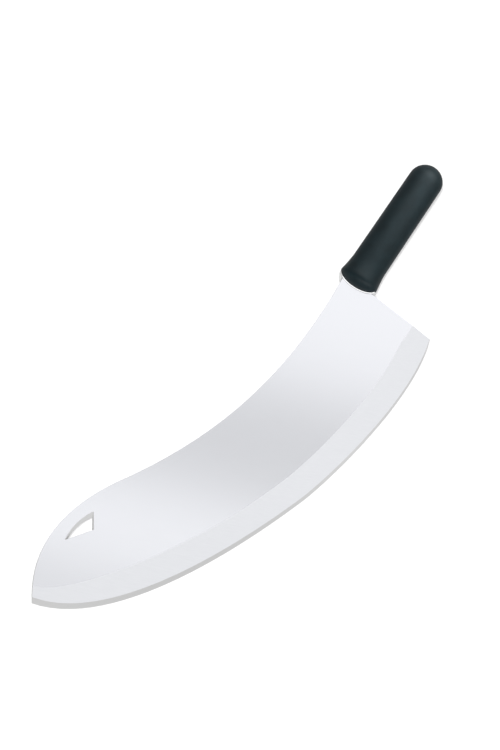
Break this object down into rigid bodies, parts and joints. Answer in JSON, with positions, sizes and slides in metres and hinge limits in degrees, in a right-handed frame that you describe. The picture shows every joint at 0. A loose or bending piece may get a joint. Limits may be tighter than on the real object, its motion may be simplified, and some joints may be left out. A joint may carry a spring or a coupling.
{
  "type": "rocking mincing knife",
  "caption": "Wide curved mincing knife: a steel plate blade with a ground rocking edge and a hanging hole near its tip, its tang clamped in a core under a round moulded grip.",
  "frame": {"origin": "under the middle of the knife's box, on the surface that it lies on", "axes": "+X along the handle towards its butt, +Y towards the spine, +Z square to the blade"},
  "size_m": [0.5332, 0.1912, 0.0342],
  "materials": {
    "blade_steel": "fine satin stainless steel with a brighter honed edge",
    "collar_steel": "polished stainless steel",
    "core_plastic": "plain moulded polypropylene, as it leaves the mould",
    "grip_plastic": "matte moulded plastic with a fine grain, near black"
  },
  "bodies": {
    "root": {"blade": "blade_steel", "neck_collar": "collar_steel", "core_upper": "core_plastic", "core_lower": "core_plastic", "grip": "grip_plastic"}
  },
  "joints": []
}
